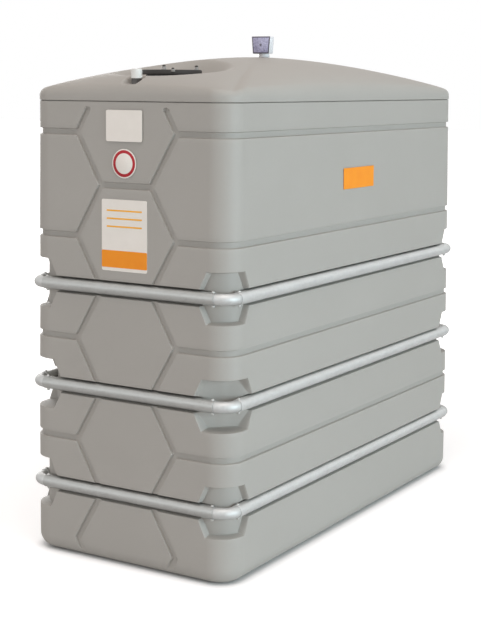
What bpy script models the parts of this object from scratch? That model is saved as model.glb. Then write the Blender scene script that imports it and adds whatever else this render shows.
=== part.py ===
"""Bunded diesel fuel tank: a tall moulded double-walled box with a domed lid.

Three bands of steel tube hold the moulding together. Each band is four straight tubes lying half
sunk in channels, joined by thinner elbows that slide into the tube ends and pass through corner
pockets. The short faces carry a column of hexagons drawn in grooves, and four of the groove rows
run on round the corners and along the long sides. The lid has a sunk platform with the manhole,
a notch in front of it with the filler, and a level gauge at its crest.

Metres, +Z up, origin on the floor under the middle of the tank. The front short face looks along -Y.
"""
import math

import bmesh
import bpy
from mathutils import Matrix, Vector

# Body
BODY_WIDTH = 0.800
BODY_LENGTH = 1.735
CORNER_RADIUS = 0.084
BOTTOM_EDGE_RADIUS = 0.060
PARTING_HEIGHT = 1.529
DOUBLE_WALL = 0.034
EDGE_CHAMFER = 0.003

# Grooves
GROOVE_PITCH = 0.341
GROOVE_ROWS = 5
LOWEST_GROOVE = 0.069
GROOVE_MOUTH = 0.030
GROOVE_FLOOR = 0.012
GROOVE_DEPTH = 0.011
TOP_GROOVE_MARGIN = 0.024
BOTTOM_TAIL_DROP = 0.043

# Tube bands
TUBE_RADIUS = 0.0212
ELBOW_RADIUS = 0.0175
ELBOW_WALL = 0.0026
ELBOW_STRAIGHT = 0.002
ELBOW_INSERT = 0.040
TUBE_END_TO_CORNER = 0.062
TUBE_INSET = 0.007
BAND_DROP = 0.003
CHANNEL_CLEARANCE = 0.0035

# Corner pockets, measured from the sharp corner that the round one was cut from
POCKET_HEIGHT = 0.163
POCKET_WIDE_REACH = 0.126
POCKET_NARROW_REACH = 0.086
POCKET_DEPTH = 0.022
MIDDLE_POCKET_WIDE_REACH = 0.145
MIDDLE_POCKET_NARROW_REACH = 0.102
MIDDLE_POCKET_DEPTH = 0.099
POCKET_WALL = 0.010

# Lid
LID_OVERHANG = 0.005
LID_RIM_HEIGHT = 0.029
LID_CROWN = 0.130
LID_WALL = 0.012
CROWN_POWER_ACROSS = 1.44
CROWN_POWER_ALONG = 1.88

# Manhole on its sunk platform
MANHOLE_FROM_FRONT = 0.261
PLATFORM_RADIUS = 0.185
PLATFORM_HEIGHT = 0.080
MANHOLE_BORE = 0.075
COLLAR_WALL = 0.010
COLLAR_HEIGHT = 0.0075
COVER_RADIUS = 0.102
COVER_THICKNESS = 0.016
COVER_EASE = 0.003
LUG_RADIUS = 0.006
LUG_HEIGHT = 0.010
LUG_CIRCLE = 0.080
LUG_COUNT = 6

# Filler in its notch
FILLER_FROM_FRONT = 0.062
NOTCH_RADIUS = 0.032
NOTCH_HEIGHT = 0.055
NECK_RADIUS = 0.0165
NECK_HEIGHT = 0.0190
NECK_BORE = 0.012
CAP_RADIUS = 0.0180
CAP_HEIGHT = 0.032

# Level gauge at the crest
STEM_RADIUS = 0.0195
STEM_HEIGHT = 0.010
HEAD_TOP_WIDTH = 0.078
HEAD_BOTTOM_WIDTH = 0.068
HEAD_HEIGHT = 0.064
HEAD_DEPTH = 0.028
HEAD_FORWARD = 0.006
HEAD_EDGE = 0.004
WINDOW_BORDER = 0.006
WINDOW_THICKNESS = 0.002

# Fits and facets
GAP = 0.0003
CORNER_SEGMENTS = 6
EDGE_SEGMENTS = 4
TUBE_SIDES = 16
ELBOW_SEGMENTS = 6
ROUND_SIDES = 32
LUG_SIDES = 6
NOTCH_SEGMENTS = 8
DOME_RINGS = 8
STRAIGHT_SEGMENTS = 6
SHARP_ANGLE = 35.0
PAST = 0.02
WELD = 0.000001

# Derived sizes
HALF_WIDTH = BODY_WIDTH / 2
HALF_LENGTH = BODY_LENGTH / 2
HEX_SIDE = GROOVE_PITCH / math.sqrt(3)
BAND_NAMES = ("low", "middle", "high")
ENDS = ((-1, "front"), (1, "back"))
SIDES = ((-1, "left"), (1, "right"))
BAND_X = HALF_WIDTH - TUBE_INSET
BAND_Y = HALF_LENGTH - TUBE_INSET
ELBOW_BEND_RADIUS = TUBE_END_TO_CORNER - TUBE_INSET - ELBOW_STRAIGHT
CAVITY_CORNER_RADIUS = ((MIDDLE_POCKET_DEPTH + POCKET_WALL - DOUBLE_WALL * math.sqrt(2))
                        / (math.sqrt(2) - 1))
LID_BASE = PARTING_HEIGHT + GAP
LID_HALF_WIDTH = HALF_WIDTH + LID_OVERHANG
LID_HALF_LENGTH = HALF_LENGTH + LID_OVERHANG
LID_CORNER_RADIUS = CORNER_RADIUS + LID_OVERHANG
MANHOLE_Y = -HALF_LENGTH + MANHOLE_FROM_FRONT
PLATFORM_Z = PARTING_HEIGHT + PLATFORM_HEIGHT
FILLER_Y = -HALF_LENGTH + FILLER_FROM_FRONT
NOTCH_Z = PARTING_HEIGHT + NOTCH_HEIGHT
CREST_Z = LID_BASE + LID_RIM_HEIGHT + LID_CROWN


def groove_level(row):
    """Height of a row of hexagon corners, counted up from 0, whole numbers and halves."""
    return LOWEST_GROOVE + row * GROOVE_PITCH


def band_level(index):
    """Height of a tube band, a little under the middle between two groove rows."""
    return groove_level(index + 0.5) - BAND_DROP


def clear_scene():
    for obj in list(bpy.data.objects):
        bpy.data.objects.remove(obj, do_unlink=True)


def make_collection(name, parent=None):
    collection = bpy.data.collections.new(name)
    (parent or bpy.context.scene.collection).children.link(collection)
    return collection


def make_material(name, colour, roughness, metallic=0.0):
    material = bpy.data.materials.new(name)
    material.use_nodes = True
    shader = material.node_tree.nodes["Principled BSDF"]
    shader.inputs["Base Color"].default_value = (*colour, 1.0)
    shader.inputs["Roughness"].default_value = roughness
    shader.inputs["Metallic"].default_value = metallic
    return material


def make_object(name, bm, collection, material=None):
    """Turn a bmesh into an object with outward faces."""
    bmesh.ops.recalc_face_normals(bm, faces=bm.faces)
    mesh = bpy.data.meshes.new(name)
    bm.to_mesh(mesh)
    bm.free()
    mesh.shade_smooth()
    mesh.set_sharp_from_angle(angle=math.radians(SHARP_ANGLE))
    obj = bpy.data.objects.new(name, mesh)
    collection.objects.link(obj)
    if material:
        mesh.materials.append(material)
    return obj


def make_cutter(name, bm, collection):
    cutter = make_object(name, bm, collection)
    cutter.hide_render = True
    cutter.display_type = "WIRE"
    return cutter


def add_boolean(obj, operand, operation="DIFFERENCE"):
    """Cut or join an object with another object, or with everything in a collection."""
    modifier = obj.modifiers.new(operation.title(), "BOOLEAN")
    modifier.operation = operation
    modifier.solver = "EXACT"
    if isinstance(operand, bpy.types.Collection):
        modifier.operand_type = "COLLECTION"
        modifier.collection = operand
    else:
        modifier.object = operand


def rounded_box(width, length, bottom, top, corner_radius, bottom_radius=0.0, top_chamfer=0.0,
                facets=CORNER_SEGMENTS):
    """A box standing on its bottom, with round upright corners and eased ends."""
    bm = bmesh.new()
    size = Matrix.Diagonal((width, length, top - bottom, 1.0))
    place = Matrix.Translation((0.0, 0.0, (top + bottom) / 2))
    bmesh.ops.create_cube(bm, size=1.0, matrix=place @ size)
    upright = [e for e in bm.edges if abs(e.verts[0].co.z - e.verts[1].co.z) > (top - bottom) / 2]
    bmesh.ops.bevel(bm, geom=upright, offset=corner_radius, segments=facets,
                    profile=0.5, affect="EDGES")
    for level, offset, segments in ((bottom, bottom_radius, EDGE_SEGMENTS), (top, top_chamfer, 1)):
        if offset > 0.0:
            loop = [e for e in bm.edges if all(abs(v.co.z - level) < WELD for v in e.verts)]
            bmesh.ops.bevel(bm, geom=loop, offset=offset, segments=segments,
                            profile=0.5, affect="EDGES")
    return bm


def round_bar(radius, start, end, sides):
    """A straight round bar between two points, with flat ends."""
    bm = bmesh.new()
    axis = Vector(end) - Vector(start)
    middle = (Vector(end) + Vector(start)) / 2
    turn = axis.to_track_quat("Z", "Y").to_matrix().to_4x4()
    bmesh.ops.create_cone(bm, cap_ends=True, segments=sides, radius1=radius, radius2=radius,
                          depth=axis.length, matrix=Matrix.Translation(middle) @ turn)
    return bm


def prism(section, place, depth):
    """A flat outline in its own XY plane, pushed along its own Z, then put in place."""
    bm = bmesh.new()
    corners = [bm.verts.new((x, y, 0.0)) for x, y in section]
    face = bm.faces.new(corners)
    pushed = bmesh.ops.extrude_face_region(bm, geom=[face])
    moved = [v for v in pushed["geom"] if isinstance(v, bmesh.types.BMVert)]
    bmesh.ops.translate(bm, verts=moved, vec=(0.0, 0.0, depth))
    bmesh.ops.transform(bm, verts=bm.verts, matrix=place)
    return bm


def loft(rings, closed_ends=True):
    """Skin a stack of rings that all have the same number of points."""
    bm = bmesh.new()
    loops = [[bm.verts.new(point) for point in ring] for ring in rings]
    count = len(rings[0])
    for lower, upper in zip(loops, loops[1:]):
        for i in range(count):
            j = (i + 1) % count
            bm.faces.new((lower[i], lower[j], upper[j], upper[i]))
    if closed_ends:
        bm.faces.new(list(reversed(loops[0])))
        bm.faces.new(loops[-1])
    return bm


def turned(name, profile, collection, material, centre=(0.0, 0.0, 0.0)):
    """A turned piece: a closed profile of (radius, height) points, swung round the Z axis."""
    bm = bmesh.new()
    corners = [bm.verts.new((radius, 0.0, height)) for radius, height in profile]
    for i in range(len(corners)):
        bm.edges.new((corners[i], corners[(i + 1) % len(corners)]))
    mesh = bpy.data.meshes.new(name)
    bm.to_mesh(mesh)
    bm.free()
    mesh.materials.append(material)
    obj = bpy.data.objects.new(name, mesh)
    obj.location = centre
    collection.objects.link(obj)
    screw = obj.modifiers.new("Screw", "SCREW")
    screw.steps = ROUND_SIDES
    screw.render_steps = ROUND_SIDES
    screw.use_merge_vertices = True
    screw.merge_threshold = 0.0001
    return obj


def groove_section(outside):
    """Corners of the groove's profile as (along the face, into the wall) pairs."""
    flare = (GROOVE_MOUTH - GROOVE_FLOOR) / 2 / GROOVE_DEPTH
    mouth = GROOVE_MOUTH / 2 + flare * outside
    return [(mouth, -outside), (GROOVE_FLOOR / 2, GROOVE_DEPTH),
            (-GROOVE_FLOOR / 2, GROOVE_DEPTH), (-mouth, -outside)]


def mitred_groove(points, inward):
    """A groove cutter along straight runs on one face, with mitred turns."""
    inward = Vector(inward)
    points = [Vector(p) for p in points]
    rings = []
    for i, point in enumerate(points):
        before = (points[i] - points[i - 1]).normalized() if i > 0 else None
        after = (points[i + 1] - points[i]).normalized() if i < len(points) - 1 else None
        along = ((before or after) + (after or before)).normalized()
        across = inward.cross(along)
        stretch = 1.0 / along.dot(after or before)
        rings.append([point + across * side * stretch + inward * depth
                      for side, depth in groove_section(PAST)])
    return loft(rings)


def wrapped_groove(side, level):
    """A groove cutter from the front hexagon corner round one long side to the back one."""
    rings = []
    for position, inward in side_path(side):
        rings.append([position + Vector((0.0, 0.0, level + across)) + inward * depth
                      for across, depth in groove_section(PAST)])
    return loft(rings)


def side_path(side):
    """Points and inward directions along one end, round a corner, a long side and back."""
    steps = [(Vector((side * HEX_SIDE, -HALF_LENGTH, 0.0)), Vector((0.0, 1.0, 0.0)))]
    arc_x = side * (HALF_WIDTH - CORNER_RADIUS)
    arc_y = HALF_LENGTH - CORNER_RADIUS
    for end in (-1, 1):
        for k in range(CORNER_SEGMENTS + 1):
            share = k / CORNER_SEGMENTS if end < 0 else 1.0 - k / CORNER_SEGMENTS
            angle = share * math.pi / 2
            outward = Vector((side * math.sin(angle), end * math.cos(angle), 0.0))
            centre = Vector((arc_x, end * arc_y, 0.0))
            steps.append((centre + outward * CORNER_RADIUS, -outward))
    steps.append((Vector((side * HEX_SIDE, HALF_LENGTH, 0.0)), Vector((0.0, -1.0, 0.0))))
    return steps


def zigzag_points(side, end):
    """The edge of the column of hexagons on one short face, from top to bottom."""
    face_y = end * HALF_LENGTH
    slope = math.tan(math.radians(60.0))
    top_row = GROOVE_ROWS - 1
    top = PARTING_HEIGHT - TOP_GROOVE_MARGIN
    top_x = HEX_SIDE - (top - groove_level(top_row)) / slope
    points = [(side * top_x, face_y, top)]
    for row in range(top_row, 0, -1):
        points.append((side * HEX_SIDE, face_y, groove_level(row)))
        points.append((side * HEX_SIDE / 2, face_y, groove_level(row - 0.5)))
    points.append((side * HEX_SIDE, face_y, groove_level(0)))
    tail_x = HEX_SIDE - BOTTOM_TAIL_DROP / slope
    points.append((side * tail_x, face_y, groove_level(0) - BOTTOM_TAIL_DROP))
    return points


def make_groove_cutters(collection):
    for side, side_name in SIDES:
        for row in range(1, GROOVE_ROWS):
            bm = wrapped_groove(side, groove_level(row))
            make_cutter(f"cut_groove_{side_name}_{row}", bm, collection)
    for end, end_name in ENDS:
        inward = (0.0, -end, 0.0)
        for side, side_name in SIDES:
            bm = mitred_groove(zigzag_points(side, end), inward)
            make_cutter(f"cut_hexagons_{end_name}_{side_name}", bm, collection)
        level = groove_level(GROOVE_ROWS - 1.5)
        bar = [(x * HEX_SIDE / 2, end * HALF_LENGTH, level) for x in (-1, 1)]
        make_cutter(f"cut_hexagon_bar_{end_name}", mitred_groove(bar, inward), collection)


def bar_ring(centre, out, radius):
    """A ring of a level bar: out is a level direction square to the bar. Flats face out and back."""
    angles = [2 * math.pi * (k + 0.5) / TUBE_SIDES for k in range(TUBE_SIDES)]
    out = Vector(out)
    up = Vector((0.0, 0.0, 1.0))
    return [Vector(centre) + (out * math.cos(a) + up * math.sin(a)) * radius for a in angles]


def make_channel_cutters(collection):
    """Round channels between the corner pockets, which seat the tubes at their backs."""
    radius = TUBE_RADIUS + CHANNEL_CLEARANCE
    shift = CHANNEL_CLEARANCE * math.cos(math.pi / TUBE_SIDES) - GAP
    reach_x = HALF_WIDTH - TUBE_END_TO_CORNER
    reach_y = HALF_LENGTH - TUBE_END_TO_CORNER
    for index, band in enumerate(BAND_NAMES):
        level = band_level(index)
        for end, name in ENDS:
            y = end * (BAND_Y + shift)
            bm = loft([bar_ring((x, y, level), (0, 1, 0), radius) for x in (-reach_x, reach_x)])
            make_cutter(f"cut_channel_{band}_{name}", bm, collection)
        for side, name in SIDES:
            x = side * (BAND_X + shift)
            bm = loft([bar_ring((x, y, level), (1, 0, 0), radius) for y in (-reach_y, reach_y)])
            make_cutter(f"cut_channel_{band}_{name}", bm, collection)


def pocket_block(level, side, end, wide_reach, narrow_reach):
    """A block that is square in plan on the corner, and widest at the tube's height."""
    rings = []
    half_height = POCKET_HEIGHT / 2
    for rise, reach in ((-half_height, narrow_reach), (0.0, wide_reach), (half_height, narrow_reach)):
        inner_x, inner_y = HALF_WIDTH - reach, HALF_LENGTH - reach
        outer_x, outer_y = HALF_WIDTH + PAST, HALF_LENGTH + PAST
        corners = ((inner_x, inner_y), (outer_x, inner_y), (outer_x, outer_y), (inner_x, outer_y))
        rings.append([(side * x, end * y, level + rise) for x, y in corners])
    return loft(rings)


def make_pocket_cutters(pockets, cutters):
    """Blocks at the corners, each cut back to the wall that stands behind its pocket."""
    bottom = band_level(0) - POCKET_HEIGHT
    top = band_level(2) + POCKET_HEIGHT
    round_back = make_cutter("round_pocket_back", rounded_box(
        BODY_WIDTH - 2 * POCKET_DEPTH, BODY_LENGTH - 2 * POCKET_DEPTH, bottom, top,
        CORNER_RADIUS), cutters)
    flat_cut = MIDDLE_POCKET_DEPTH * math.sqrt(2)
    flat_back = make_cutter("flat_pocket_back", rounded_box(
        BODY_WIDTH + 4 * PAST, BODY_LENGTH + 4 * PAST, bottom, top, flat_cut + 4 * PAST,
        facets=1), cutters)
    for index, band in enumerate(BAND_NAMES):
        middle = band == "middle"
        wide = MIDDLE_POCKET_WIDE_REACH if middle else POCKET_WIDE_REACH
        narrow = MIDDLE_POCKET_NARROW_REACH if middle else POCKET_NARROW_REACH
        for side, side_name in SIDES:
            for end, end_name in ENDS:
                block = make_cutter(f"cut_pocket_{band}_{end_name}_{side_name}",
                                    pocket_block(band_level(index), side, end, wide, narrow),
                                    pockets)
                add_boolean(block, flat_back if middle else round_back)


def make_shell(parts, cutters, material):
    """The double-walled moulding, open at the top, with pockets, channels and grooves."""
    bm = rounded_box(BODY_WIDTH, BODY_LENGTH, 0.0, PARTING_HEIGHT, CORNER_RADIUS,
                     BOTTOM_EDGE_RADIUS, EDGE_CHAMFER)
    shell = make_object("tank_shell", bm, parts, material)

    pockets = make_collection("pocket_cutters", cutters)
    channels = make_collection("channel_cutters", cutters)
    grooves = make_collection("groove_cutters", cutters)
    make_pocket_cutters(pockets, cutters)
    make_channel_cutters(channels)
    make_groove_cutters(grooves)
    cavity = make_cutter("cut_cavity", rounded_box(
        BODY_WIDTH - 2 * DOUBLE_WALL, BODY_LENGTH - 2 * DOUBLE_WALL, DOUBLE_WALL,
        PARTING_HEIGHT + PAST, CAVITY_CORNER_RADIUS), cutters)

    add_boolean(shell, pockets)
    add_boolean(shell, channels)
    add_boolean(shell, grooves)
    add_boolean(shell, cavity)


def outline(half_width, half_length, radius):
    """A rounded rectangle, paired at each point with its place on the square of side two."""
    points = []
    corners = ((1, 1, 0.0), (-1, 1, 0.5), (-1, -1, 1.0), (1, -1, 1.5))
    for index, (sx, sy, start) in enumerate(corners):
        centre = (sx * (half_width - radius), sy * (half_length - radius))
        for k in range(CORNER_SEGMENTS + 1):
            angle = (start + 0.5 * k / CORNER_SEGMENTS) * math.pi
            points.append((centre[0] + radius * math.cos(angle),
                           centre[1] + radius * math.sin(angle)))
        nx, ny, next_start = corners[(index + 1) % 4]
        angle = next_start * math.pi
        finish = (nx * (half_width - radius) + radius * math.cos(angle),
                  ny * (half_length - radius) + radius * math.sin(angle))
        begin = points[-1]
        for k in range(1, STRAIGHT_SEGMENTS):
            share = k / STRAIGHT_SEGMENTS
            points.append((begin[0] + (finish[0] - begin[0]) * share,
                           begin[1] + (finish[1] - begin[1]) * share))
    paired = []
    for x, y in points:
        reach = max(abs(x) / half_width, abs(y) / half_length)
        paired.append((x, y, x / half_width / reach, y / half_length / reach))
    return paired


def crown_height(u, v):
    """Height of the dome over its rim at a place on the square of side two."""
    fall = (1 - abs(u) ** CROWN_POWER_ACROSS) * (1 - abs(v) ** CROWN_POWER_ALONG)
    return LID_CROWN * math.sqrt(max(0.0, fall))


def dome_solid(inset, base, rim_top, chamfer):
    """The lid's form, solid: an upright rim under a dome that rolls over at its edge."""
    around = outline(LID_HALF_WIDTH - inset, LID_HALF_LENGTH - inset, LID_CORNER_RADIUS - inset)
    rings = []
    if chamfer > 0.0:
        eased = outline(LID_HALF_WIDTH - chamfer, LID_HALF_LENGTH - chamfer,
                        LID_CORNER_RADIUS - chamfer)
        rings.append([(x, y, base) for x, y, u, v in eased])
    rings.append([(x, y, base + chamfer) for x, y, u, v in around])
    for k in range(DOME_RINGS):
        scale = math.cos(0.5 * math.pi * k / DOME_RINGS)
        rings.append([(x * scale, y * scale, rim_top + crown_height(u * scale, v * scale))
                      for x, y, u, v in around])
    bm = loft(rings, closed_ends=False)
    bm.verts.ensure_lookup_table()
    count = len(around)
    bm.faces.new(list(reversed(bm.verts[:count])))
    crest = bm.verts.new((0.0, 0.0, rim_top + LID_CROWN))
    bm.verts.ensure_lookup_table()
    last = bm.verts[len(bm.verts) - 1 - count:len(bm.verts) - 1]
    for i in range(count):
        bm.faces.new((last[i], last[(i + 1) % count], crest))
    return bm


def make_lid(parts, cutters, material):
    """The domed lid, with the manhole's platform and the filler's notch pressed into it."""
    rim_top = LID_BASE + LID_RIM_HEIGHT
    lid = make_object("tank_lid", dome_solid(0.0, LID_BASE, rim_top, EDGE_CHAMFER), parts, material)

    pans = make_collection("lid_pans", cutters)
    high = CREST_Z + PAST
    for name, grow, drop in (("pan", LID_WALL, LID_WALL), ("cut", 0.0, 0.0)):
        holder = pans if name == "pan" else cutters
        platform = round_bar(PLATFORM_RADIUS + grow, (0.0, MANHOLE_Y, PLATFORM_Z - drop),
                             (0.0, MANHOLE_Y, high), ROUND_SIDES)
        make_cutter(f"{name}_platform", platform, holder)
        radius = NOTCH_RADIUS + grow
        turns = [math.pi * k / NOTCH_SEGMENTS for k in range(NOTCH_SEGMENTS + 1)]
        notch = [(radius * math.cos(turn), radius * math.sin(turn)) for turn in turns]
        front = -HALF_LENGTH - PAST - FILLER_Y
        notch += [(-radius, front), (radius, front)]
        place = Matrix.Translation((0.0, FILLER_Y, NOTCH_Z - drop))
        make_cutter(f"{name}_notch", prism(notch, place, high - NOTCH_Z + drop), holder)

    void = make_cutter("cut_lid_void", dome_solid(LID_WALL, LID_BASE - PAST, rim_top - LID_WALL,
                                                  0.0), cutters)
    add_boolean(void, pans)
    add_boolean(lid, void)
    add_boolean(lid, bpy.data.objects["cut_platform"])
    add_boolean(lid, bpy.data.objects["cut_notch"])
    bore = make_cutter("cut_manhole", round_bar(
        MANHOLE_BORE, (0.0, MANHOLE_Y, PLATFORM_Z - PAST), (0.0, MANHOLE_Y, high), ROUND_SIDES),
        cutters)
    add_boolean(lid, bore)


def make_manhole(parts, cutters, collar_material, cover_material):
    """A collar round the bore and the bolted cover on it."""
    foot = GAP
    profile = [(MANHOLE_BORE + COLLAR_WALL, COLLAR_HEIGHT), (MANHOLE_BORE + COLLAR_WALL, foot),
               (MANHOLE_BORE, foot), (MANHOLE_BORE, COLLAR_HEIGHT)]
    turned("manhole_collar", profile, parts, collar_material, (0.0, MANHOLE_Y, PLATFORM_Z))

    base = COLLAR_HEIGHT + GAP
    top = base + COVER_THICKNESS
    bm = round_bar(COVER_RADIUS, (0.0, 0.0, base), (0.0, 0.0, top), ROUND_SIDES)
    rims = [e for e in bm.edges if abs(e.verts[0].co.z - e.verts[1].co.z) < COVER_EASE]
    bmesh.ops.bevel(bm, geom=rims, offset=COVER_EASE, segments=1, profile=0.5, affect="EDGES")
    cover = make_object("manhole_cover", bm, parts, cover_material)
    cover.location = (0.0, MANHOLE_Y, PLATFORM_Z)
    lugs = make_collection("cover_lugs", cutters)
    for k in range(LUG_COUNT):
        turn = 2 * math.pi * k / LUG_COUNT
        x, y = LUG_CIRCLE * math.cos(turn), MANHOLE_Y + LUG_CIRCLE * math.sin(turn)
        foot = PLATFORM_Z + base + COVER_THICKNESS / 2
        head = PLATFORM_Z + top + LUG_HEIGHT
        make_cutter(f"cover_lug_{k + 1}", round_bar(LUG_RADIUS, (x, y, foot), (x, y, head),
                                                    LUG_SIDES), lugs)
    add_boolean(cover, lugs, "UNION")


def make_filler(parts, neck_material, cap_material):
    profile = [(NECK_RADIUS, NECK_HEIGHT), (NECK_RADIUS, GAP), (NECK_BORE, GAP),
               (NECK_BORE, NECK_HEIGHT)]
    turned("filler_neck", profile, parts, neck_material, (0.0, FILLER_Y, NOTCH_Z))
    bm = round_bar(CAP_RADIUS, (0.0, 0.0, NECK_HEIGHT + GAP), (0.0, 0.0, NECK_HEIGHT + CAP_HEIGHT),
                   ROUND_SIDES)
    cap = make_object("filler_cap", bm, parts, cap_material)
    cap.location = (0.0, FILLER_Y, NOTCH_Z)


def make_gauge(parts, white, dark):
    """A level gauge: a stem on the crest with a tapered head whose window looks to the front."""
    stem_base = CREST_Z + GAP
    stem_top = CREST_Z + STEM_HEIGHT
    make_object("gauge_stem", round_bar(STEM_RADIUS, (0.0, 0.0, stem_base), (0.0, 0.0, stem_top),
                                        ROUND_SIDES), parts, white)
    base = stem_top + GAP
    top = base + HEAD_HEIGHT
    front = -HEAD_FORWARD - HEAD_DEPTH / 2
    make_object("gauge_head", tapered_box(HEAD_BOTTOM_WIDTH, HEAD_TOP_WIDTH, base, top, front,
                                          front + HEAD_DEPTH, HEAD_EDGE), parts, white)
    border = 2 * WINDOW_BORDER
    window_front = front - GAP - WINDOW_THICKNESS
    make_object("gauge_window", tapered_box(
        HEAD_BOTTOM_WIDTH - border, HEAD_TOP_WIDTH - border, base + WINDOW_BORDER,
        top - WINDOW_BORDER, window_front, front - GAP, 0.0), parts, dark)


def tapered_box(bottom_width, top_width, bottom, top, front, back, edge):
    """A box whose sides lean, seen from the front as a shield."""
    section = [(-bottom_width / 2, bottom), (bottom_width / 2, bottom),
               (top_width / 2, top), (-top_width / 2, top)]
    axes = Matrix(((1, 0, 0), (0, 0, 1), (0, -1, 0))).transposed().to_4x4()
    bm = prism(section, Matrix.Translation((0.0, back, 0.0)) @ axes, back - front)
    if edge > 0.0:
        bmesh.ops.bevel(bm, geom=bm.edges[:], offset=edge, segments=2, profile=0.5,
                        affect="EDGES")
    return bm


def make_tube(name, start, end, parts, material):
    """A straight tube whose bore takes the elbows."""
    out = (Vector(end) - Vector(start)).normalized().cross((0.0, 0.0, 1.0))
    bore = ELBOW_RADIUS + GAP
    walls = ((start, bore), (start, TUBE_RADIUS), (end, TUBE_RADIUS), (end, bore), (start, bore))
    rings = [bar_ring(centre, out, radius) for centre, radius in walls]
    bm = loft(rings, closed_ends=False)
    bmesh.ops.remove_doubles(bm, verts=bm.verts, dist=WELD)
    return make_object(name, bm, parts, material)


def make_elbow(name, side, end, level, parts, material):
    """A bent tube round one corner, with both ends inside the straight tubes."""
    arc_x = BAND_X - ELBOW_BEND_RADIUS
    arc_y = BAND_Y - ELBOW_BEND_RADIUS
    run = TUBE_END_TO_CORNER + ELBOW_INSERT
    path = [(HALF_WIDTH - run, BAND_Y, 0.0, 1.0)]
    for k in range(ELBOW_SEGMENTS + 1):
        turn = math.pi / 2 * (1 - k / ELBOW_SEGMENTS)
        path.append((arc_x + ELBOW_BEND_RADIUS * math.cos(turn),
                     arc_y + ELBOW_BEND_RADIUS * math.sin(turn), math.cos(turn), math.sin(turn)))
    path.append((BAND_X, HALF_LENGTH - run, 1.0, 0.0))
    skins = [(step, ELBOW_RADIUS) for step in path]
    skins += [(step, ELBOW_RADIUS - ELBOW_WALL) for step in reversed(path)]
    skins.append(skins[0])
    rings = [bar_ring((side * x, end * y, level), (side * nx, end * ny, 0.0), radius)
             for (x, y, nx, ny), radius in skins]
    bm = loft(rings, closed_ends=False)
    bmesh.ops.remove_doubles(bm, verts=bm.verts, dist=WELD)
    return make_object(name, bm, parts, material)


def make_bands(parts, material):
    reach_x = HALF_WIDTH - TUBE_END_TO_CORNER
    reach_y = HALF_LENGTH - TUBE_END_TO_CORNER
    for index, band in enumerate(BAND_NAMES):
        level = band_level(index)
        for end, name in ENDS:
            y = end * BAND_Y
            make_tube(f"band_{band}_{name}_tube", (-reach_x, y, level), (reach_x, y, level),
                      parts, material)
        for side, name in SIDES:
            x = side * BAND_X
            make_tube(f"band_{band}_{name}_tube", (x, -reach_y, level), (x, reach_y, level),
                      parts, material)
        for end, end_name in ENDS:
            for side, side_name in SIDES:
                make_elbow(f"band_{band}_elbow_{end_name}_{side_name}", side, end, level, parts,
                           material)


def main():
    clear_scene()
    parts = make_collection("bunded_fuel_tank")
    cutters = make_collection("cutters")
    grey = make_material("moulded_grey", (0.32, 0.30, 0.28), 0.55)
    steel = make_material("galvanised_steel", (0.55, 0.56, 0.55), 0.40, 0.9)
    black = make_material("black_plastic", (0.02, 0.02, 0.02), 0.45)
    white = make_material("white_plastic", (0.80, 0.80, 0.78), 0.40)
    rib_grey = make_material("ribbed_grey_plastic", (0.12, 0.11, 0.11), 0.50)
    glass = make_material("window_glass", (0.30, 0.28, 0.42), 0.15)
    make_shell(parts, cutters, grey)
    make_lid(parts, cutters, grey)
    make_manhole(parts, cutters, rib_grey, black)
    make_filler(parts, rib_grey, white)
    make_gauge(parts, white, glass)
    make_bands(parts, steel)


main()
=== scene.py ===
"""Looks of the bunded diesel fuel tank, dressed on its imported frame.

Metres, +Z up, origin on the floor under the middle of the tank. The front short face looks along -Y.
The sizes at the top follow the solids, with the finer forms that only the looks have.
"""
import math

import bmesh
import bpy
import numpy as np
from mathutils import Matrix, Vector


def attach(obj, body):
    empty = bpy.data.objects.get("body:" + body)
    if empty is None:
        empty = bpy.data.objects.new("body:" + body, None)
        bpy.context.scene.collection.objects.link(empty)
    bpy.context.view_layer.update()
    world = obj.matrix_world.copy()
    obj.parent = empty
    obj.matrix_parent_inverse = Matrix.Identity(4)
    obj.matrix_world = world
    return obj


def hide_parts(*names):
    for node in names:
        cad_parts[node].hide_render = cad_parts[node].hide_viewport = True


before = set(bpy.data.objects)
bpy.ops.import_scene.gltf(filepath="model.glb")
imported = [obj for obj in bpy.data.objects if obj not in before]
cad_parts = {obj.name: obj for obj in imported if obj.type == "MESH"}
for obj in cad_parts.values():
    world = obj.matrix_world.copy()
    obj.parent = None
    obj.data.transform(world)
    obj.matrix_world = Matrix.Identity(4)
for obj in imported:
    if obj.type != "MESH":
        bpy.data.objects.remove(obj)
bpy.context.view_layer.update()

# Body
BODY_WIDTH = 0.800
BODY_LENGTH = 1.735
CORNER_RADIUS = 0.084
BOTTOM_EDGE_RADIUS = 0.050
TOP_TAPER = 0.0036
LOW_FLARE = 0.0035
LEAN_START = 0.45
LEAN_MIDDLE = 1.02
PARTING_HEIGHT = 1.529
DOUBLE_WALL = 0.040
CAVITY_CORNER_RADIUS = 0.147
HALF_WIDTH = BODY_WIDTH / 2
HALF_LENGTH = BODY_LENGTH / 2

# Grooves
GROOVE_PITCH = 0.341
GROOVE_ROWS = 5
LOWEST_GROOVE = 0.069
GROOVE_REACH = 0.0115
GROOVE_FLOOR_REACH = 0.0085
GROOVE_DEPTH = 0.0085
GROOVE_DROP = 0.0050
TOP_GROOVE_MARGIN = 0.024
BOTTOM_TAIL_DROP = 0.043
HEX_SIDE = GROOVE_PITCH / math.sqrt(3)

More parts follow.
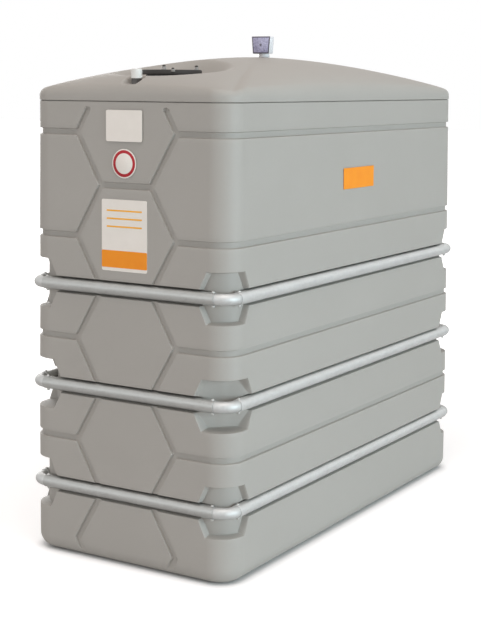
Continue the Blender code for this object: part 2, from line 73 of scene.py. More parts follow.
# Tube bands
SOLID_TUBE_SIDES = 16
TUBE_RADIUS = 0.0212 * math.cos(math.pi / SOLID_TUBE_SIDES)
ELBOW_RADIUS = 0.0187
ELBOW_WALL = 0.0026
ELBOW_STRAIGHT = 0.002
ELBOW_INSERT = 0.040
TUBE_END_TO_CORNER = 0.058
TUBE_INSET = 0.010
BAND_DROP = 0.003
CHANNEL_END_TO_CORNER = 0.062
CHANNEL_RADIUS = 0.0282
CHANNEL_HALF_HEIGHT = 0.0268
CHANNEL_SHIFT = 0.0031
BOLT_TO_CORNER = 0.069
BAND_NAMES = ("low", "middle", "high")
ENDS = ((-1, "front"), (1, "back"))
SIDES = ((-1, "left"), (1, "right"))
BAND_X = HALF_WIDTH - TUBE_INSET
BAND_Y = HALF_LENGTH - TUBE_INSET
BEND_RADIUS = TUBE_END_TO_CORNER - TUBE_INSET - ELBOW_STRAIGHT

# Corner pockets
POCKET_HALF_HEIGHT = 0.0815
POCKET_REACHES = ((0.086, 0.126), (0.102, 0.145), (0.086, 0.126))
POCKET_DEPTH = 0.022
MIDDLE_POCKET_CUT = 0.140
POCKET_EDGE_RUN = 0.0058
POCKET_SILL_RUN = 0.009
POCKET_SILL_DROP = 0.003

# Lid
LID_BASE = 1.5293
LID_RIM_TOP = 1.5633
LID_EDGE_ROLL = 0.0175
LID_CROWN = 0.122
LID_HALF_WIDTH = 0.3985
LID_HALF_LENGTH = 0.8660
LID_CORNER_RADIUS = 0.085
MANHOLE_Y = -0.6065
PLATFORM_FLAT_RADIUS = 0.145
PLATFORM_DISH_RUN = 0.070
PLATFORM_Z = 1.609
FILLER_Y = -0.8055
NOTCH_RADIUS = 0.028
NOTCH_WALL_RUN = 0.015
NOTCH_Z = 1.584
CREST_Z = LID_RIM_TOP + LID_CROWN

# Gauge
GAUGE_BASE = 1.6986
GAUGE_HEAD_HEIGHT = 0.064
GAUGE_HEAD_DEPTH = 0.030
GAUGE_FRONT = -0.024

# Edges that meet more sharply than this stay sharp
SHARP_ANGLE = math.radians(38.0)


def groove_level(row):
    return LOWEST_GROOVE + row * GROOVE_PITCH


def groove_middle(row):
    """Middle height of a groove, which lies a little under its row's level."""
    return groove_level(row) - GROOVE_DROP


def band_level(index):
    return groove_level(index + 0.5) - BAND_DROP


def ease(share):
    """Smooth step from 0 to 1 over shares 0 to 1."""
    share = np.clip(share, 0.0, 1.0)
    return share * share * (3.0 - 2.0 * share)


# Shader tools

class Socket:
    """A shader socket that takes Python's operators and adds the Math nodes they need."""

    def __init__(self, tree, socket):
        self.tree = tree
        self.socket = socket

    def combine(self, operation, first, second):
        node = self.tree.nodes.new("ShaderNodeMath")
        node.operation = operation
        for place, value in zip(node.inputs, (first, second)):
            if isinstance(value, Socket):
                self.tree.links.new(value.socket, place)
            else:
                place.default_value = value
        return Socket(self.tree, node.outputs[0])

    def __add__(self, other):
        return self.combine("ADD", self, other)

    def __radd__(self, other):
        return self.combine("ADD", other, self)

    def __sub__(self, other):
        return self.combine("SUBTRACT", self, other)

    def __rsub__(self, other):
        return self.combine("SUBTRACT", other, self)

    def __mul__(self, other):
        return self.combine("MULTIPLY", self, other)

    def __rmul__(self, other):
        return self.combine("MULTIPLY", other, self)


class Finish:
    """A material under construction."""

    def __init__(self, name, **constants):
        self.material = bpy.data.materials.new(name)
        self.material.use_nodes = True
        self.tree = self.material.node_tree
        self.shader = self.tree.nodes["Principled BSDF"]
        for place, value in constants.items():
            self.feed(place.replace("_", " ").title().replace("Ior", "IOR"), value)

    def put(self, place, value):
        if isinstance(value, Socket):
            self.tree.links.new(value.socket, place)
        elif isinstance(value, tuple) and len(value) == 3 and place.type == "RGBA":
            place.default_value = (*value, 1.0)
        else:
            place.default_value = value

    def feed(self, name, value):
        """Set or link one of the main shader's sockets."""
        self.put(self.shader.inputs[name], value)

    def node(self, kind, settings=None, sockets=None, output=0):
        """Add a node: its settings first, then values or links for its sockets."""
        made = self.tree.nodes.new("ShaderNode" + kind)
        for name, value in (settings or {}).items():
            setattr(made, name, value)
        for name, value in (sockets or {}).items():
            self.put(made.inputs[name], value)
        return Socket(self.tree, made.outputs[output])

    def place(self, stretch=(1.0, 1.0, 1.0)):
        """Metres on the object, stretched along each axis."""
        where = self.node("TexCoord", output="Object")
        if stretch == (1.0, 1.0, 1.0):
            return where
        return self.node("VectorMath", {"operation": "MULTIPLY"}, {0: where, 1: stretch})

    def noise(self, scale, detail, stretch=(1.0, 1.0, 1.0)):
        return self.node("TexNoise", {}, {"Vector": self.place(stretch), "Scale": scale,
                                          "Detail": detail}, "Fac")

    def blend(self, share, first, second):
        """A colour between two colours."""
        return self.node("Mix", {"data_type": "RGBA"}, {"Factor": share, 6: first, 7: second}, 2)

    def bump(self, height, distance, normal=None):
        sockets = {"Height": height, "Distance": distance, "Strength": 1.0}
        if normal is not None:
            sockets["Normal"] = normal
        return self.node("Bump", {}, sockets, "Normal")


def moulded_grey(name, colour, light):
    """Rotomoulded polyethylene: fine grain, a slow waviness and faint cloudy tone, with painted light
    that makes it lighter towards the bottom.
    """
    finish = Finish(name, specular_ior_level=0.42)
    cloud = finish.noise(3.2, 3.0)
    grain = finish.noise(420.0, 2.0)
    speck = finish.noise(95.0, 2.0)
    height = finish.node("SeparateXYZ", {}, {0: finish.place()}, 2)
    # Painted light: the last term makes the grey lighter towards the floor, standing in for light
    # that the lower faces lack.
    tone = cloud * 0.6 + grain * 0.25 + speck * 0.15 + (0.30 - height * 0.20)
    finish.feed("Base Color", finish.blend(tone, colour, light))
    finish.feed("Roughness", 0.46 + grain * 0.14 + cloud * 0.08)
    wave = finish.bump(finish.noise(7.0, 1.0), 0.0016)
    finish.feed("Normal", finish.bump(grain * 0.6 + speck * 0.4, 0.00022, normal=wave))
    return finish.material


def galvanised_steel(name, dark, light, along, roughness=0.36):
    """Zinc coat: cloudy spangle, with soft streaks along the tube."""
    finish = Finish(name, metallic=0.70)
    stretch = (4.0, 30.0, 30.0) if along == "x" else (30.0, 4.0, 30.0)
    streak = finish.noise(3.0, 3.0, stretch)
    spangle = finish.node("TexVoronoi", {"feature": "F1"},
                          {"Vector": finish.place(), "Scale": 120.0}, "Color")
    flake = finish.node("SeparateColor", {}, {0: spangle}, 0)
    cloud = finish.noise(18.0, 3.0)
    tone = streak * 0.45 + cloud * 0.35 + flake * 0.20
    finish.feed("Base Color", finish.blend(tone, dark, light))
    finish.feed("Roughness", roughness + flake * 0.10 + cloud * 0.14)
    finish.feed("Normal", finish.bump(cloud * 0.7 + flake * 0.3, 0.0003))
    return finish.material


def moulded_plastic(name, colour, light, roughness):
    """Injection-moulded plastic with a fine eroded texture."""
    finish = Finish(name)
    grain = finish.noise(500.0, 2.0)
    cloud = finish.noise(30.0, 2.0)
    finish.feed("Base Color", finish.blend(grain * 0.5 + cloud * 0.5, colour, light))
    finish.feed("Roughness", roughness - 0.06 + grain * 0.12)
    finish.feed("Normal", finish.bump(grain, 0.00012))
    return finish.material


def printed_film(name, colour, light):
    """A printed plastic film, faintly uneven where it follows the moulding."""
    finish = Finish(name, specular_ior_level=0.22)
    cloud = finish.noise(24.0, 2.0)
    finish.feed("Base Color", finish.blend(cloud, colour, light))
    finish.feed("Roughness", 0.32 + cloud * 0.08)
    finish.feed("Normal", finish.bump(finish.noise(60.0, 1.0), 0.0001))
    return finish.material


def window_film(name):
    """The gauge's face: lilac-grey with small lighter and darker flecks."""
    finish = Finish(name, coat_weight=0.5, coat_roughness=0.08)
    fleck = finish.node("TexVoronoi", {"feature": "F1"},
                        {"Vector": finish.place(), "Scale": 210.0}, "Color")
    pick = finish.node("SeparateColor", {}, {0: fleck}, 1)
    soft = finish.noise(70.0, 2.0)
    finish.feed("Base Color", finish.blend(pick * 0.55 + soft * 0.45,
                                           (0.20, 0.19, 0.33), (0.58, 0.57, 0.78)))
    finish.feed("Roughness", 0.24 + soft * 0.08)
    return finish.material


GREY = moulded_grey("moulded_grey", (0.350, 0.334, 0.306), (0.405, 0.388, 0.358))
LID_GREY = moulded_grey("moulded_lid_grey", (0.350, 0.334, 0.306), (0.405, 0.388, 0.358))
# One galvanised steel in two copies: painted shade on the tubes across the ends and painted light on
# the tubes along the sides, standing in for how the light falls on them.
STEEL_X_PAINTED_SHADE = galvanised_steel("galvanised_tube_across_painted_shade", (0.33, 0.332, 0.320), (0.50, 0.505, 0.49), "x")
STEEL_Y_PAINTED_LIGHT = galvanised_steel("galvanised_tube_along_painted_light", (0.50, 0.505, 0.495), (0.72, 0.725, 0.715), "y")
ELBOW_STEEL = galvanised_steel("galvanised_elbow", (0.44, 0.445, 0.435), (0.64, 0.645, 0.635), "y",
                               roughness=0.46)
ZINC = galvanised_steel("zinc_plated_bolt", (0.42, 0.42, 0.40), (0.72, 0.72, 0.70), "x")
BLACK = moulded_plastic("black_cover_plastic", (0.020, 0.017, 0.015), (0.034, 0.030, 0.027), 0.66)
RIB_GREY = moulded_plastic("ribbed_neck_plastic", (0.085, 0.080, 0.078), (0.13, 0.125, 0.12), 0.45)
LUG_GREY = moulded_plastic("cover_lug_plastic", (0.27, 0.26, 0.25), (0.36, 0.35, 0.33), 0.40)
FRAME_GREY = moulded_plastic("gauge_frame_plastic", (0.095, 0.09, 0.12), (0.16, 0.15, 0.19), 0.35)
WHITE = moulded_plastic("white_gauge_plastic", (0.72, 0.72, 0.74), (0.80, 0.80, 0.82), 0.34)
CAP_WHITE = moulded_plastic("white_cap_plastic", (0.68, 0.68, 0.65), (0.78, 0.78, 0.75), 0.38)
WINDOW = window_film("lilac_gauge_window")
PLATE = printed_film("bare_white_plate", (0.80, 0.76, 0.70), (0.86, 0.82, 0.76))
RED = printed_film("red_rim_print", (0.40, 0.018, 0.028), (0.47, 0.028, 0.038))
ORANGE = printed_film("orange_print", (0.88, 0.27, 0.012), (0.93, 0.33, 0.02))
AMBER = printed_film("amber_print", (0.90, 0.42, 0.03), (0.94, 0.48, 0.05))


# Mesh tools

def dress(obj, material, slot, *nodes):
    """Give a piece its finish, its body and the nodes that it stands for."""
    obj.data.materials.append(material)
    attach(obj, "root")
    if nodes:
        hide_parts(*nodes)
    return obj


def from_bmesh(name, bm):
    bmesh.ops.recalc_face_normals(bm, faces=bm.faces)
    mesh = bpy.data.meshes.new(name)
    bm.to_mesh(mesh)
    bm.free()
    mesh.shade_smooth()
    mesh.set_sharp_from_angle(angle=SHARP_ANGLE)
    obj = bpy.data.objects.new(name, mesh)
    bpy.context.scene.collection.objects.link(obj)
    return obj


def from_rings(name, rings, cap_first=None, cap_last=None, wrap=False):
    """Skin a stack of rings of equal count. A cap is the middle point of a fan of triangles."""
    rings = np.asarray(rings, float)
    count = rings.shape[1]
    points = [tuple(p) for p in rings.reshape(-1, 3)]
    faces = []
    turns = rings.shape[0] if wrap else rings.shape[0] - 1
    for r in range(turns):
        low = r * count
        high = (r + 1) % rings.shape[0] * count
        for i in range(count):
            j = (i + 1) % count
            faces.append((low + i, low + j, high + j, high + i))
    for cap, low in ((cap_first, 0), (cap_last, (rings.shape[0] - 1) * count)):
        if cap is not None:
            points.append(tuple(cap))
            middle = len(points) - 1
            for i in range(count):
                j = (i + 1) % count
                faces.append((low + j, low + i, middle) if low == 0 else (low + i, low + j, middle))
    mesh = bpy.data.meshes.new(name)
    mesh.from_pydata(points, [], faces)
    mesh.validate()
    bm = bmesh.new()
    bm.from_mesh(mesh)
    bpy.data.meshes.remove(mesh)
    return from_bmesh(name, bm)


def turned(name, profile, centre, sides):
    """A turned piece from a (radius, height) profile that starts and ends on the axis."""
    angles = np.arange(sides) * 2 * math.pi / sides
    rings = []
    for radius, height in profile[1:-1]:
        rings.append(np.stack([centre[0] + radius * np.cos(angles),
                               centre[1] + radius * np.sin(angles),
                               np.full(sides, centre[2] + height)], 1))
    ends = [(centre[0], centre[1], centre[2] + profile[k][1]) for k in (0, -1)]
    return from_rings(name, rings, ends[0], ends[1])


def outline_reach(u, v, half_width, half_length, radius):
    """How far a ray through (u, v) on the square of side two goes before a rounded outline."""
    u, v = np.abs(u), np.abs(v)
    dx, dy = u * half_width, v * half_length
    cx, cy = half_width - radius, half_length - radius
    reach = 1.0 / np.maximum(np.maximum(u, v), 1e-9)
    a = dx * dx + dy * dy
    b = dx * cx + dy * cy
    c = cx * cx + cy * cy - radius * radius
    hit = (b + np.sqrt(np.maximum(b * b - a * c, 0.0))) / np.maximum(a, 1e-12)
    in_corner = (dx * reach > cx) & (dy * reach > cy)
    return np.where(in_corner, hit, reach)


# The tank's moulding

FACE_RUN = HALF_WIDTH - CORNER_RADIUS
ARC_RUN = CORNER_RADIUS * math.pi / 2
SIDE_RUN = HALF_LENGTH - CORNER_RADIUS
QUARTER_RUN = FACE_RUN + ARC_RUN + SIDE_RUN


def zigzag():
    """The edge of the column of hexagons, from top to bottom, as (across, height)."""
    slope = math.tan(math.radians(60.0))
    top = PARTING_HEIGHT - TOP_GROOVE_MARGIN - GROOVE_DROP
    top_row = GROOVE_ROWS - 1
    points = [(HEX_SIDE - (top - groove_middle(top_row)) / slope, top)]
    for row in range(top_row, 0, -1):
        points.append((HEX_SIDE, groove_middle(row)))
        points.append((HEX_SIDE / 2, groove_middle(row - 0.5)))
    points.append((HEX_SIDE, groove_middle(0)))
    points.append((HEX_SIDE - BOTTOM_TAIL_DROP / slope, groove_middle(0) - BOTTOM_TAIL_DROP))
    return points


def distance_to_run(x, z, start, end):
    """Distance on a face to a straight run between two points."""
    ax, az = start
    bx, bz = end
    length = (bx - ax) ** 2 + (bz - az) ** 2
    share = np.clip(((x - ax) * (bx - ax) + (z - az) * (bz - az)) / length, 0.0, 1.0)
    return np.hypot(x - ax - share * (bx - ax), z - az - share * (bz - az))


def groove_distance(run, z):
    """Distance to the nearest groove, where run goes round a quarter from the middle of the end."""
    near = np.full(run.shape, 1.0)
    points = zigzag()
    on_face = run < FACE_RUN
    for start, end in zip(points, points[1:]):
        near = np.where(on_face, np.minimum(near, distance_to_run(run, z, start, end)), near)
    bar = groove_middle(GROOVE_ROWS - 1.5)
    near = np.where(on_face, np.minimum(near, distance_to_run(run, z, (0.0, bar),
                                                              (HEX_SIDE / 2, bar))), near)
    for row in range(1, GROOVE_ROWS):
        level = groove_middle(row)
        near = np.minimum(near, distance_to_run(run, z, (HEX_SIDE, level), (QUARTER_RUN, level)))
    return near


def channel_profile():
    """The channel's section, as (height from its middle, depth) pairs."""
    middle_depth = TUBE_INSET - CHANNEL_SHIFT
    pairs = []
    for k in range(-9, 10):
        turn = math.radians(90.0 * k / 9)
        pairs.append((CHANNEL_HALF_HEIGHT * math.sin(turn),
                      middle_depth + CHANNEL_RADIUS * math.cos(turn)))
    lip = [(0.0004, 0.50), (0.0010, 0.18), (0.0018, 0.03), (0.0028, 0.0)]
    for out, share in lip:
        pairs.append((CHANNEL_HALF_HEIGHT + out, middle_depth * share))
        pairs.insert(0, (-CHANNEL_HALF_HEIGHT - out, middle_depth * share))
    return pairs


def pocket_reach(z):
    """How far a pocket's side stands from the sharp corner at each height, and on between pockets."""
    heights, reaches = [], []
    for index in range(3):
        narrow, wide = POCKET_REACHES[index]
        level = band_level(index)
        for rise, reach in ((-1, narrow), (0, wide), (1, narrow)):
            heights.append(level + rise * POCKET_HALF_HEIGHT)
            reaches.append(reach)
    return np.interp(z, heights, reaches)


def round_back_depth(from_corner, turn):
    """Depth along the outward direction to the wall behind a low or high pocket."""
    face = np.where(from_corner >= POCKET_DEPTH + CORNER_RADIUS, POCKET_DEPTH,
                    POCKET_DEPTH + CORNER_RADIUS - np.sqrt(np.maximum(
                        CORNER_RADIUS ** 2 - (POCKET_DEPTH + CORNER_RADIUS - from_corner) ** 2,
                        0.0)))
    slip = POCKET_DEPTH * (np.cos(turn) + np.sin(turn))
    arc = slip + CORNER_RADIUS - np.sqrt(np.maximum(
        CORNER_RADIUS ** 2 - 2 * POCKET_DEPTH ** 2 + slip ** 2, 0.0))
    return np.where(turn < 0.0, face, arc)


def flat_back_depth(from_corner, turn):
    """Depth along the outward direction to the flat wall across a middle pocket."""
    face = np.maximum(MIDDLE_POCKET_CUT - from_corner, 0.0)
    lean = np.cos(turn) + np.sin(turn)
    arc = (MIDDLE_POCKET_CUT - CORNER_RADIUS * (2 - lean)) / lean
    return np.where(turn < 0.0, face, arc)


def hollow(run, z):
    """How deep the moulding is pressed in at each place."""
    turn = np.where((run > FACE_RUN) & (run < FACE_RUN + ARC_RUN), (run - FACE_RUN) / CORNER_RADIUS,
                    -1.0)
    by_face = np.where(turn >= 0.0, CORNER_RADIUS * (1 - np.sin(turn)), HALF_WIDTH - run)
    by_side = np.where(turn >= 0.0, CORNER_RADIUS * (1 - np.cos(turn)),
                       run - FACE_RUN - ARC_RUN + CORNER_RADIUS)
    on_end = run < FACE_RUN + ARC_RUN / 2
    from_corner = np.where(on_end, by_face, by_side)

    depth = GROOVE_DEPTH * ease((GROOVE_REACH - groove_distance(run, z))
                                / (GROOVE_REACH - GROOVE_FLOOR_REACH))
    heights, depths = zip(*channel_profile())
    in_channel = from_corner > CHANNEL_END_TO_CORNER
    for index in range(3):
        level = band_level(index)
        channel = np.interp(z - level, heights, depths, left=0.0, right=0.0)
        depth = np.maximum(depth, np.where(in_channel, channel, 0.0))
        back = flat_back_depth if index == 1 else round_back_depth
        narrow, wide = POCKET_REACHES[index]
        lean = math.cos(math.atan((wide - narrow) / POCKET_HALF_HEIGHT))
        inside = np.minimum((pocket_reach(z) - from_corner) * lean, level + POCKET_HALF_HEIGHT - z)
        sill = ease((z - level + POCKET_HALF_HEIGHT + POCKET_SILL_DROP) / POCKET_SILL_RUN)
        pressed = back(from_corner, turn) * np.minimum(ease(inside / POCKET_EDGE_RUN + 0.5), sill)
        depth = np.maximum(depth, pressed)
    return depth


def skin_heights():
    """Heights of the grid's rows, close together at every groove, channel and pocket edge."""
    marks = {groove_middle(0), PARTING_HEIGHT - 0.0035, BOTTOM_EDGE_RADIUS}
    walls = np.linspace(GROOVE_FLOOR_REACH - 0.0006, GROOVE_REACH + 0.0004, 7)
    fine = [0.0, 0.0035, -0.0035, *walls, *(-walls)]
    for row in range(1, GROOVE_ROWS):
        marks.update(groove_middle(row) + step for step in fine)
    marks.update(groove_middle(GROOVE_ROWS - 1.5) + step for step in fine)
    top_end = PARTING_HEIGHT - TOP_GROOVE_MARGIN - GROOVE_DROP
    marks.update(top_end + step for step in (0.0, *walls))
    for index in range(3):
        level = band_level(index)
        marks.update(level + rise for rise, depth in channel_profile())
        marks.update(level + POCKET_HALF_HEIGHT + k * 0.0011 for k in range(-4, 5))
        marks.update(level - POCKET_HALF_HEIGHT + k * 0.0012 for k in range(-3, 6))
    marks = sorted(mark for mark in marks if mark >= BOTTOM_EDGE_RADIUS)
    rows = [marks[0]]
    for mark in marks[1:]:
        pieces = max(1, math.ceil((mark - rows[-1]) / 0.016))
        rows += [rows[-1] + (mark - rows[-1]) * (k + 1) / pieces for k in range(pieces)]
    return np.array([row for row, after in zip(rows, rows[1:] + [9.0]) if after - row > 0.0002])


def skin_columns(z):
    """Places round a quarter at one height: they lean with the hexagons and the pocket sides."""
    across, heights = zip(*reversed(zigzag()))
    edge = float(np.interp(z, heights, across))
    reach = float(pocket_reach(z))
    corner = FACE_RUN + ARC_RUN - CORNER_RADIUS
    # Each knot is where a stretch starts, and how many columns the stretch has.
    knots = ((0.0, 4), (edge - 0.0155, 8), (edge - 0.0075, 4), (edge + 0.0075, 8),
             (edge + 0.0155, 5), (HALF_WIDTH - reach - 0.005, 9),
             (HALF_WIDTH - reach + 0.007, 22), (corner + reach - 0.007, 9),
             (corner + reach + 0.005, 10), (QUARTER_RUN, 0))
    places = []
    for (start, steps), (finish, _) in zip(knots, knots[1:]):
        places += [start + (finish - start) * k / steps for k in range(steps)]
    return np.array(places + [QUARTER_RUN])


def quarter_point(run):
    """Place and outward direction on the plan's outline, front middle to right middle."""
    turn = np.clip((run - FACE_RUN) / CORNER_RADIUS, 0.0, math.pi / 2)
    out_x, out_y = np.sin(turn), -np.cos(turn)
    x = np.minimum(run, FACE_RUN) + CORNER_RADIUS * out_x
    y = -SIDE_RUN + np.maximum(run - FACE_RUN - ARC_RUN, 0.0) + CORNER_RADIUS * out_y
    return x, y, out_x, out_y


def all_round(x, y, z):
    """A ring from its quarter, mirrored to the other three."""
    quarter = np.stack([x, y, z], 1)
    right = [quarter, quarter[-2::-1] * (1, -1, 1)]
    left = [quarter[1:] * (-1, -1, 1), quarter[-2:0:-1] * (-1, 1, 1)]
    return np.concatenate(right + left)


def skin_ring(z, inset=0.0, fade=1.0):
    run = skin_columns(z)
    x, y, out_x, out_y = quarter_point(run)
    taper = TOP_TAPER * float(ease((z - LEAN_MIDDLE) / (PARTING_HEIGHT - LEAN_MIDDLE)))
    flare = LOW_FLARE * float(ease((LEAN_MIDDLE - z) / (LEAN_MIDDLE - LEAN_START)))
    depth = hollow(run, np.full(run.shape, max(z, 0.0))) * fade + inset + taper - flare
    return all_round(x - out_x * depth, y - out_y * depth, np.full(run.shape, z))


def inner_ring(outer, height):
    """The double wall's inner face, with one point for each point of the ring outside it."""
    u, v = outer[:, 0] / HALF_WIDTH, outer[:, 1] / HALF_LENGTH
    half_width, half_length = HALF_WIDTH - DOUBLE_WALL, HALF_LENGTH - DOUBLE_WALL
    reach = outline_reach(u, v, half_width, half_length, CAVITY_CORNER_RADIUS)
    return np.stack([u * reach * half_width, v * reach * half_length,
                     np.full(u.shape, height)], 1)


def tank_skin():
    rings = []
    for k in range(11):
        turn = math.pi / 2 * k / 11
        inset = BOTTOM_EDGE_RADIUS * (1 - math.sin(turn))
        height = BOTTOM_EDGE_RADIUS * (1 - math.cos(turn))
        rings.append(skin_ring(height, inset, max(0.0, 1.0 - inset / GROOVE_DEPTH)))
    rings += [skin_ring(height) for height in skin_heights()]
    rings.append(skin_ring(PARTING_HEIGHT - 0.0016, 0.0004))
    rings.append(skin_ring(PARTING_HEIGHT - 0.0010, 0.0014))
    rings.append(skin_ring(PARTING_HEIGHT, 0.0070))
    rings.append(inner_ring(rings[-1], PARTING_HEIGHT))
    rings.append(inner_ring(rings[-2], DOUBLE_WALL))
    skin = from_rings("tank_moulding", rings, (0.0, 0.0, 0.0), (0.0, 0.0, DOUBLE_WALL))
    dress(skin, GREY, "tank_grey", "tank_shell")


# The lid's moulding

def edge_drop(x, y):
    """How far the lid's rolled edge falls below its rim's full height."""
    past_x = np.abs(x) - (LID_HALF_WIDTH - LID_CORNER_RADIUS)
    past_y = np.abs(y) - (LID_HALF_LENGTH - LID_CORNER_RADIUS)
    outside = np.hypot(np.maximum(past_x, 0.0), np.maximum(past_y, 0.0))
    inside = LID_CORNER_RADIUS - outside - np.minimum(np.maximum(past_x, past_y), 0.0)
    lean = LID_EDGE_ROLL - np.clip(inside, 0.0, LID_EDGE_ROLL)
    return LID_EDGE_ROLL - np.sqrt(np.maximum(LID_EDGE_ROLL ** 2 - lean ** 2, 0.0))


def lid_height(x, y):
    """Height of the lid's outer face: the dome with its platform and notch pressed in."""
    u, v = x / LID_HALF_WIDTH, y / LID_HALF_LENGTH
    size = np.maximum(np.maximum(np.abs(u), np.abs(v)), 1e-9)
    reach = outline_reach(u / size, v / size, LID_HALF_WIDTH, LID_HALF_LENGTH, LID_CORNER_RADIUS)
    u, v = np.clip(np.abs(u / reach), 0.0, 1.0), np.clip(np.abs(v / reach), 0.0, 1.0)
    height = LID_RIM_TOP + LID_CROWN * np.sqrt((1 - u ** 1.44) * (1 - v ** 1.88)) - edge_drop(x, y)
    from_manhole = np.hypot(x, y - MANHOLE_Y)
    dish = ease((from_manhole - PLATFORM_FLAT_RADIUS) / PLATFORM_DISH_RUN)
    height = np.where(height > PLATFORM_Z, PLATFORM_Z + (height - PLATFORM_Z) * dish, height)
    from_notch = np.where(y > FILLER_Y, np.hypot(x, y - FILLER_Y), np.abs(x))
    wall = ease((from_notch - NOTCH_RADIUS) / NOTCH_WALL_RUN + 0.5)
    return np.where(height > NOTCH_Z, NOTCH_Z + (height - NOTCH_Z) * wall, height)


def lid_outline(inset=0.0):
    """Points round the lid, close together at the notch and the corners."""
    half_width, half_length = LID_HALF_WIDTH - inset, LID_HALF_LENGTH - inset
    radius = LID_CORNER_RADIUS - inset
    straight_x, straight_y = half_width - radius, half_length - radius
    places = [(x, -half_length) for x in np.arange(0.0, 0.070, 0.0022)]
    places += [(x, -half_length) for x in np.linspace(0.070, straight_x, 28)]
    for k in range(1, 18):
        turn = math.pi / 2 * k / 18
        places.append((straight_x + radius * math.sin(turn), -straight_y - radius * math.cos(turn)))
    split = MANHOLE_Y + 0.50
    places += [(half_width, y) for y in np.linspace(-straight_y, split, 56)[:-1]]
    places += [(half_width, y) for y in np.linspace(split, straight_y, 36)]
    for k in range(1, 18):
        turn = math.pi / 2 * k / 18
        places.append((straight_x + radius * math.cos(turn), straight_y + radius * math.sin(turn)))
    places += [(x, half_length) for x in np.linspace(straight_x, 0.0, 16)]
    half = np.array(places)
    return np.concatenate([half, half[-2:0:-1] * (-1, 1)])


def lid_skin():
    edge = lid_outline()
    away = edge - (0.0, MANHOLE_Y)
    far = np.hypot(away[:, 0], away[:, 1])
    aim = away / far[:, None]
    rings = []
    inner = [0.03, 0.06, 0.09, 0.120] + list(np.linspace(0.138, 0.222, 24))
    shares = list(np.linspace(0.0, 0.90, 34)[1:])
    shares += [1 - 0.10 * (1 - k / 13) ** 2 for k in range(1, 14)]
    last = inner[-1]
    for reach in [np.full(far.shape, r) for r in inner] + [last + (far - last) * s for s in shares]:
        x, y = aim[:, 0] * reach, MANHOLE_Y + aim[:, 1] * reach
        rings.append(np.stack([x, y, lid_height(x, y)], 1))
    for rise in (0.0120, 0.0070, 0.0035):
        rings.append(np.column_stack([edge, np.full(far.shape, LID_BASE + rise)]))
    for inset, rise in ((0.0004, 0.0016), (0.0014, 0.0010), (0.0070, 0.0), (0.030, 0.0),
                        (0.030, 0.026)):
        rings.append(np.column_stack([lid_outline(inset), np.full(far.shape, LID_BASE + rise)]))
    middle = float(lid_height(np.array([0.0]), np.array([MANHOLE_Y]))[0])
    skin = from_rings("lid_moulding", rings, (0.0, MANHOLE_Y, middle), (0.0, 0.0, LID_BASE + 0.026))
    dress(skin, LID_GREY, "lid_grey", "tank_lid")


# Tubes, elbows and their bolts

def pipe(name, path, sides):
    """A closed pipe wall. Each step is (centre, level outward direction, radius)."""
    angles = np.arange(sides) * 2 * math.pi / sides
    rings = []
    for centre, out, radius in path:
        out = np.array(out, float)
        ring = np.array(centre) + np.outer(np.cos(angles), out) * radius
        ring[:, 2] += np.sin(angles) * radius
        rings.append(ring)
    return from_rings(name, rings, wrap=True)


def straight_tube(name, start, end, out):
    start, end = np.array(start, float), np.array(end, float)
    along = (end - start) / np.linalg.norm(end - start)
    bore = ELBOW_RADIUS + 0.0003
    ease_off = 0.0008
    steps = [(start, out, bore + 0.0005), (start, out, TUBE_RADIUS - ease_off),
             (start + along * ease_off, out, TUBE_RADIUS)]
    steps += [(start + (end - start) * k / 8, out, TUBE_RADIUS) for k in range(1, 8)]
    steps += [(end - along * ease_off, out, TUBE_RADIUS), (end, out, TUBE_RADIUS - ease_off),
              (end, out, bore + 0.0005), (end - along * 0.0005, out, bore),
              (start + along * 0.0005, out, bore)]
    return pipe(name, steps, 48)


def elbow(name, side, end, level):
    arc_x, arc_y = BAND_X - BEND_RADIUS, BAND_Y - BEND_RADIUS
    run = TUBE_END_TO_CORNER + ELBOW_INSERT
    path = [(HALF_WIDTH - run, BAND_Y, 0.0, 1.0),
            (HALF_WIDTH - TUBE_END_TO_CORNER, BAND_Y, 0.0, 1.0)]
    for k in range(25):
        turn = math.pi / 2 * (1 - k / 24)
        path.append((arc_x + BEND_RADIUS * math.cos(turn), arc_y + BEND_RADIUS * math.sin(turn),
                     math.cos(turn), math.sin(turn)))
    path.append((BAND_X, HALF_LENGTH - TUBE_END_TO_CORNER, 1.0, 0.0))
    path.append((BAND_X, HALF_LENGTH - run, 1.0, 0.0))
    skins = [(step, ELBOW_RADIUS) for step in path]
    skins += [(step, ELBOW_RADIUS - ELBOW_WALL) for step in reversed(path)]
    steps = [((side * x, end * y, level), (side * nx, end * ny, 0.0), radius)
             for (x, y, nx, ny), radius in skins]
    return pipe(name, steps, 40)


def bolt(name, x, y, level):
    """A bolt down through a tube end, with a button head above and a domed nut below."""
    top = level + TUBE_RADIUS - 0.0005
    head = [(0.0, 0.0), (0.0062, 0.0), (0.0062, 0.0012), (0.0050, 0.0014), (0.0049, 0.0026),
            (0.0040, 0.0036), (0.0024, 0.0041), (0.0, 0.0042)]
    dress(turned(name + "_head", head, (x, y, top), 20), ZINC, "bolt_steel")
    low = level - TUBE_RADIUS + 0.0005
    nut = [(0.0, 0.0), (0.0062, 0.0), (0.0062, -0.0012), (0.0052, -0.0014), (0.0052, -0.0038),
           (0.0046, -0.0058), (0.0030, -0.0074), (0.0, -0.0080)]
    dress(turned(name + "_nut", nut, (x, y, low), 20), ZINC, "bolt_steel")


